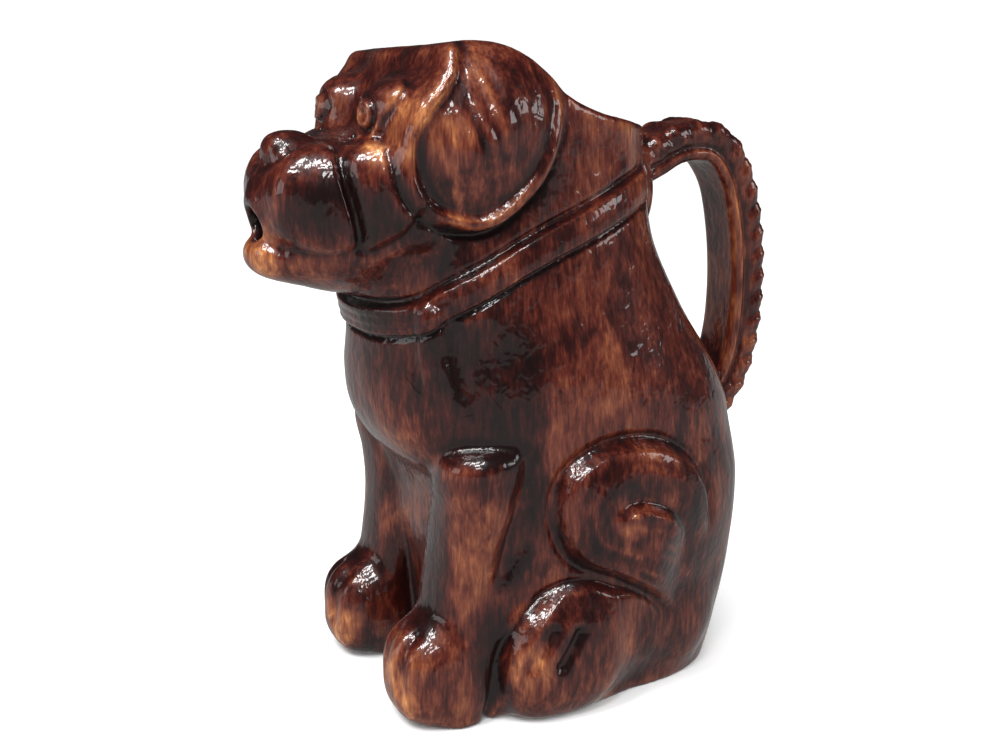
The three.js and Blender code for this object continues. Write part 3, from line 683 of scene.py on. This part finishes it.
def slope(field, points, reach):
    """Which way the field rises, by its values at the corners of a small tetrahedron."""
    total = np.zeros(points.shape)
    for corner in ((1, -1, -1), (-1, -1, 1), (-1, 1, -1), (1, 1, 1)):
        offset = np.array(corner, float)
        total += offset * measure(field, points + reach * offset)[:, None]
    return total / (4 * reach)


def corner_grid(count):
    axes = [np.arange(count)] * 3
    return np.stack(np.meshgrid(*axes, indexing="ij"), -1).reshape(-1, 3)


def surface(field, low, high, cell, block=4):
    """Surface nets over the blocks of the grid that the surface goes through."""
    low = np.array(low, float)
    blocks = np.ceil((np.array(high) - low) / (cell * block)).astype(int)
    middles = np.stack(np.meshgrid(*[np.arange(n) + 0.5 for n in blocks], indexing="ij"), -1)
    reach = cell * block * 1.8 + 1
    near = np.abs(measure(field, low + cell * block * middles.reshape(-1, 3))) < reach
    kept = np.argwhere(near.reshape(blocks))
    size = blocks * block + 1
    nodes = (kept[:, None] * block + corner_grid(block + 1)[None]).reshape(-1, 3)
    nodes = np.stack(np.unravel_index(np.unique(np.ravel_multi_index(nodes.T, size)), size), -1)
    grid = np.full(size, np.nan)
    grid[tuple(nodes.T)] = measure(field, low + cell * nodes)

    cells = (kept[:, None] * block + corner_grid(block)[None]).reshape(-1, 3)
    corners = corner_grid(2)
    values = np.stack([grid[tuple((cells + corner).T)] for corner in corners], 1)
    solid = values < 0
    cut = solid.any(1) & ~solid.all(1)
    cells, values = cells[cut], values[cut]
    total = np.zeros((len(cells), 3))
    count = np.zeros(len(cells))
    for a in range(8):
        for b in range(a + 1, 8):
            if np.abs(corners[a] - corners[b]).sum() != 1:
                continue
            crossed = (values[:, a] < 0) != (values[:, b] < 0)
            share = values[:, a] / np.where(crossed, values[:, a] - values[:, b], 1)
            spot = corners[a] + share[:, None] * (corners[b] - corners[a])
            total += np.where(crossed[:, None], spot, 0)
            count += crossed
    points = low + cell * (cells + total / count[:, None])
    number = np.full(size, -1)
    number[tuple(cells.T)] = np.arange(len(cells))
    return points, net_faces(grid, cells, number)


def net_faces(grid, cells, number):
    """One four-sided face round every grid edge that the surface crosses."""
    faces = []
    for axis in range(3):
        step, left, right = (np.eye(3, dtype=int)[(axis + k) % 3] for k in range(3))
        here = grid[tuple(cells.T)]
        there = grid[tuple((cells + step).T)]
        crossed = ((here < 0) != (there < 0)) & (cells @ left > 0) & (cells @ right > 0)
        base = cells[crossed]
        ring = [base, base - left, base - left - right, base - right]
        face = np.stack([number[tuple(spot.T)] for spot in ring], 1)
        turned = here[crossed] >= 0
        face[turned] = face[turned][:, ::-1]
        faces.append(face[(face >= 0).all(1)])
    return np.concatenate(faces)


def settle(field, points, cell, rounds):
    """Points moved onto the surface, by no more than part of a cell at a time."""
    for _ in range(rounds):
        rise = slope(field, points, cell * 0.25)
        steep = np.maximum((rise**2).sum(1, keepdims=True), 0.05)
        step = -measure(field, points)[:, None] * rise / steep
        length = np.linalg.norm(step, axis=1, keepdims=True)
        points = points + step * np.minimum(1, 0.6 * cell / np.maximum(length, 1e-9))
    return points


def mesh_object(name, points, faces):
    mesh = bpy.data.meshes.new(name)
    mesh.from_pydata(points.tolist(), [], faces.tolist())
    thing = bpy.data.objects.new(name, mesh)
    bpy.context.scene.collection.objects.link(thing)
    return thing


def thinned(thing, triangles):
    """The object's mesh with fewer triangles, most of them left where the form is fine."""
    thing.modifiers.new("even", "TRIANGULATE")
    thinner = thing.modifiers.new("thin", "DECIMATE")
    thinner.ratio = triangles / (2 * len(thing.data.polygons))
    thinner.use_collapse_triangulate = True
    shown = thing.evaluated_get(bpy.context.evaluated_depsgraph_get())
    mesh = bpy.data.meshes.new_from_object(shown)
    old = thing.data
    thing.modifiers.clear()
    thing.data = mesh
    bpy.data.meshes.remove(old)


def mesh_points(mesh):
    flat = np.empty(3 * len(mesh.vertices))
    mesh.vertices.foreach_get("co", flat)
    return flat.reshape(-1, 3)


def set_values(mesh, name, values):
    """A grey value for every point of the mesh, for the material to read."""
    layer = mesh.attributes.new(name, "FLOAT", "POINT")
    layer.data.foreach_set("value", np.ascontiguousarray(values, np.float32))


# Where the glaze lies thin and amber; and darker patches on the face, body and legs, one of them painted
# shade over the front of the near leg
amber_places = [
    lump((33, -3, 213.5), (7, 7, 8)),
    lump((24, -9, 207.5), (8, 6, 3.5)),
    lump((20, -10, 213), (5, 4, 5)),
    lump((34, -11, 202), (9, 8, 4)),
    lump((0, -40, 168), (20, 16, 10)),
    lump((30, -8, 14), (16, 8, 12)),
    lump((54, 33, 24), (10, 14, 9)),
]
# Patches made darker: on the flew and cheek, on the body side where glaze drops ran, along the strap and
# leg grooves and by the hind foot; the last lump is painted shade over the front of the near leg.
drops_and_painted_shade_places = [
    lump((27, -22, 184), (10, 16, 12)),
    lump((40, -4, 184), (8, 15, 14)),
    lump((48, 24, 120), (14, 18, 30)),
    lump((40, 10, 136), (6, 8, 16)),
    lump((46, 20, 93), (12, 14, 9)),
    lump((52, 34, 84), (5, 6, 16)),
    lump((50, 28, 60), (5, 6, 14)),
    lump((50, 20, 26), (10, 9, 20)),
    # Painted shade: darkens the front of the near leg.
    lump((34, -2, 66), (14, 12, 34)),
]


def glaze_values(mesh, points):
    """How hollow and how edged each point is, where the glaze lies thin, the darker patches with the
    painted shade on the near leg, and the hair.
    """
    normal = slope(skin, points, 0.4)
    normal /= np.maximum(np.linalg.norm(normal, axis=1, keepdims=True), 1e-9)
    hollow = np.zeros(len(points))
    edge = np.zeros(len(points))
    for reach in (2.0, 5.0):
        hollow += 0.5 * np.clip(1 - measure(skin, points + reach * normal) / reach, 0, 1)
        edge += 0.5 * np.clip(1 + measure(skin, points - reach * normal) / reach, 0, 1)
    x, y, z = np.abs(points[:, 0]), points[:, 1], points[:, 2]
    amber = sum(ramp(3, -4, place(x, y, z)) for place in amber_places)
    # Darker patches, the one on the near leg's front being painted shade.
    drops_and_painted_shade = sum(ramp(4, -6, place(x, y, z)) for place in drops_and_painted_shade_places)
    ear_depth = inside_of(EAR, y, z)
    on_ear = ramp(24, 34, x) * ramp(0, 4, ear_depth) * ramp(62, 56, y)
    thigh_depth = inside_of(THIGH, y, z)
    _, shank_along, _ = nearest(SHANK, y, z)
    on_thigh = ramp(THIGH_IN, 42, x) * ramp(0, 4, thigh_depth)
    strand = on_ear * ear_hair(x, y, z, ear_depth)
    strand += on_thigh * noise(thigh_depth / 1.9, shank_along / 13, x / 9, seed=4)
    set_values(mesh, "strand", strand)
    set_values(mesh, "hollow", hollow)
    set_values(mesh, "edge", edge)
    set_values(mesh, "amber", np.clip(amber, 0, 1))
    set_values(mesh, "drops_and_painted_shade", np.clip(drops_and_painted_shade, 0, 1))


SETTLING_ROUNDS = 2


def make_pitcher():
    points, faces = surface(pottery, DRAWING_LOW, DRAWING_HIGH, CELL)
    points = settle(pottery, points, CELL, SETTLING_ROUNDS)
    thing = mesh_object("dog_pitcher_glazed", points, faces)
    thinned(thing, TRIANGLES)
    mesh = thing.data
    points = mesh_points(mesh)
    glaze_values(mesh, points)
    set_in_frame(mesh, points)
    for face in mesh.polygons:
        face.use_smooth = True
    return thing


def set_in_frame(mesh, points):
    """Puts the figure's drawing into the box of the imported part, in metres."""
    low, high = (np.array(corner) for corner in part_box("dog_pitcher"))
    drawn_low, drawn_high = points.min(0), points.max(0)
    scale = (high[2] - low[2]) / (drawn_high[2] - drawn_low[2])
    middle = (drawn_low + drawn_high) / 2
    moved = (points - middle) * scale + (low + high) / 2
    mesh.vertices.foreach_set("co", moved.ravel())
    mesh.update()


# Glaze

class Nodes:
    """Adds shader nodes to a material and joins them."""

    def __init__(self, material):
        material.use_nodes = True
        self.tree = material.node_tree
        self.tree.nodes.clear()

    def add(self, kind, inputs=None, **settings):
        node = self.tree.nodes.new(kind)
        for key, value in settings.items():
            setattr(node, key, value)
        for key, value in (inputs or {}).items():
            if isinstance(value, bpy.types.NodeSocket):
                self.tree.links.new(value, node.inputs[key])
            else:
                node.inputs[key].default_value = value
        return node

    def math(self, operation, a, b):
        return self.add("ShaderNodeMath", {0: a, 1: b}, operation=operation).outputs[0]

    def value(self, name):
        return self.add("ShaderNodeAttribute", attribute_name=name).outputs["Fac"]

    def noise(self, place, scale, stretch, detail=4.0, distortion=0.0):
        mapping = self.add("ShaderNodeMapping", {"Vector": place, "Scale": stretch})
        texture = self.add("ShaderNodeTexNoise", {
            "Vector": mapping.outputs["Vector"],
            "Scale": scale,
            "Detail": detail,
            "Distortion": distortion,
        })
        return texture.outputs["Fac"]

    def ramp(self, factor, stops):
        node = self.add("ShaderNodeValToRGB", {"Fac": factor})
        elements = node.color_ramp.elements
        elements[0].position, elements[0].color = stops[0][0], (*stops[0][1], 1)
        elements[1].position, elements[1].color = stops[-1][0], (*stops[-1][1], 1)
        for position, color in stops[1:-1]:
            elements.new(position).color = (*color, 1)
        return node.outputs["Color"]


def glaze_material():
    """A clear coat over a body colour that goes from near-black through treacle brown to amber."""
    material = bpy.data.materials.new("treacle_glaze")
    nodes = Nodes(material)
    place = nodes.add("ShaderNodeTexCoord").outputs["Object"]
    streaks = nodes.noise(place, 560, (1, 1, 0.2), detail=6, distortion=0.6)
    fine_streaks = nodes.noise(place, 1250, (1, 1, 0.12), detail=3, distortion=0.3)
    patches = nodes.noise(place, 34, (1, 1, 0.7), detail=5, distortion=1.2)
    mottle = nodes.noise(place, 190, (1, 1, 0.6), detail=6, distortion=0.7)
    runs = nodes.noise(place, 95, (1, 1, 0.16), detail=3, distortion=0.3)

    tone = nodes.math("MULTIPLY_ADD", streaks, 0.55)
    tone.node.inputs[2].default_value = 0.06
    for source, weight in (
        (nodes.math("SUBTRACT", fine_streaks, 0.5), 0.42),
        (nodes.math("SUBTRACT", patches, 0.5), 0.95),
        (nodes.math("SUBTRACT", mottle, 0.5), 0.5),
        (nodes.math("SUBTRACT", runs, 0.5), 0.4),
        (nodes.value("strand"), 0.22),
        (nodes.value("hollow"), -0.8),
        (nodes.value("edge"), 0.5),
        (nodes.math("MULTIPLY", nodes.value("amber"), mottle), 0.62),
        # Darker patches, including painted shade on the front of the near leg.
        (nodes.math("MULTIPLY", nodes.value("drops_and_painted_shade"), patches), -0.55),
    ):
        tone = nodes.math("ADD", tone, nodes.math("MULTIPLY", source, weight))
    color = nodes.ramp(tone, [
        (0.0, (0.006, 0.0007, 0.0006)),
        (0.2, (0.024, 0.002, 0.001)),
        (0.36, (0.065, 0.009, 0.004)),
        (0.52, (0.12, 0.028, 0.011)),
        (0.68, (0.2, 0.06, 0.02)),
        (0.84, (0.34, 0.125, 0.038)),
        (1.0, (0.52, 0.25, 0.1)),
    ])

    ripple = nodes.noise(place, 1100, (1, 1, 0.13), detail=2)
    skin_wave = nodes.noise(place, 260, (1, 1, 0.75), detail=1, distortion=0.8)
    height = nodes.math("ADD", nodes.math("MULTIPLY", ripple, 0.12), skin_wave)
    bump = nodes.add("ShaderNodeBump", {"Height": height, "Strength": 0.5, "Distance": 0.0006})
    shader = nodes.add("ShaderNodeBsdfPrincipled", {
        "Base Color": color,
        "Roughness": 0.35,
        "IOR": 1.5,
        "Specular IOR Level": 0.25,
        "Coat Weight": 1.0,
        "Coat Roughness": 0.03,
        "Coat IOR": 1.52,
        "Normal": bump.outputs["Normal"],
        "Coat Normal": bump.outputs["Normal"],
    })
    nodes.add("ShaderNodeOutputMaterial", {"Surface": shader.outputs["BSDF"]})
    return material


# Stage, light and camera

def stage_material():
    material = bpy.data.materials.new("pale_floor")
    nodes = Nodes(material)
    shader = nodes.add("ShaderNodeBsdfPrincipled", {
        "Base Color": (0.9, 0.9, 0.9, 1),
        "Roughness": 0.6,
        "Specular IOR Level": 0.0,
    })
    nodes.add("ShaderNodeOutputMaterial", {"Surface": shader.outputs["BSDF"]})
    return material


FLOOR_REACH = 40


def make_floor():
    corners = [(u * FLOOR_REACH, v * FLOOR_REACH, 0) for u, v in ((-1, -1), (1, -1), (1, 1), (-1, 1))]
    floor = mesh_object("floor", np.array(corners, float), np.array([[0, 1, 2, 3]]))
    floor.data.materials.append(stage_material())
    floor.visible_glossy = False


def make_world():
    """White for the camera and the soft light, and a dim studio for the glaze to mirror."""
    world = bpy.data.worlds.new("studio")
    bpy.context.scene.world = world
    nodes = Nodes(world)
    white = nodes.add("ShaderNodeBackground", {"Color": (1, 1, 1, 1), "Strength": 1.16})
    place = nodes.add("ShaderNodeTexCoord").outputs["Generated"]
    up = nodes.add("ShaderNodeSeparateXYZ", {"Vector": place}).outputs["Z"]
    height = nodes.math("MULTIPLY_ADD", up, 0.5)
    height.node.inputs[2].default_value = 0.5
    room_color = nodes.ramp(height, [
        (0.0, (0.27, 0.26, 0.255)),
        (0.38, (0.36, 0.35, 0.345)),
        (0.485, (0.3, 0.3, 0.3)),
        (0.505, (0.025, 0.025, 0.027)),
        (0.8, (0.015, 0.015, 0.017)),
        (1.0, (0.04, 0.04, 0.045)),
    ])
    room = nodes.add("ShaderNodeBackground", {"Color": room_color})
    path = nodes.add("ShaderNodeLightPath")
    mix = nodes.add("ShaderNodeMixShader", {
        0: path.outputs["Is Glossy Ray"],
        1: white.outputs["Background"],
        2: room.outputs["Background"],
    })
    nodes.add("ShaderNodeOutputWorld", {"Surface": mix.outputs["Shader"]})
    bpy.context.scene.view_settings.view_transform = "Standard"


# Lights, metres and watts: the point they face, and the panes of the window
LIT_POINT = (0, 0, 0.12)
PANE_SIZE = (0.17, 0.2)
PANE_HEIGHT = 1.1
PANE_POWER = 2.6


def area_light(name, place, size, power, target=LIT_POINT):
    light = bpy.data.lights.new(name, "AREA")
    light.shape = "RECTANGLE"
    light.size, light.size_y = size
    light.energy = power
    lamp = bpy.data.objects.new(name, light)
    lamp.location = place
    lamp.rotation_euler = (Vector(target) - Vector(place)).to_track_quat("-Z", "Y").to_euler()
    bpy.context.scene.collection.objects.link(lamp)


def make_lights():
    """A window of six panes overhead, one pane low down, and two dim walls for the glaze to mirror."""
    for row in range(2):
        for column in range(3):
            across = 0.5 - 0.3 * column + 0.08 * row
            back = -0.2 - 0.2 * column - 0.3 * row
            area_light(f"pane_{row}_{column}", (across, back, PANE_HEIGHT), PANE_SIZE, PANE_POWER)
    area_light("front_wall", (-0.3, -1.4, 0.45), (0.7, 0.5), 1.6)
    area_light("low_pane", (0.82, -0.5, 0.78), (0.14, 0.16), 1.1, target=(0, 0, 0.14))
    area_light("rear_wall", (0.8, 1.0, 0.62), (0.5, 0.4), 2.2)


# The camera of the photograph: where it stands, and which way it looks
CAMERA_PLACE = (0.42008, -0.22612, 0.24)
CAMERA_YAW = 62.6
CAMERA_DOWN = 15.1
CAMERA_LENS = 46.43


def make_camera():
    camera = bpy.data.cameras.new("photograph")
    camera.lens = CAMERA_LENS
    eye_point = bpy.data.objects.new("photograph", camera)
    eye_point.location = CAMERA_PLACE
    eye_point.rotation_euler = (math.radians(90 - CAMERA_DOWN), 0, math.radians(CAMERA_YAW))
    bpy.context.scene.collection.objects.link(eye_point)
    bpy.context.scene.camera = eye_point


pitcher = make_pitcher()
pitcher.data.materials.append(glaze_material())
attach(pitcher, "root")
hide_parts("dog_pitcher")

make_floor()
make_world()
make_lights()
make_camera()
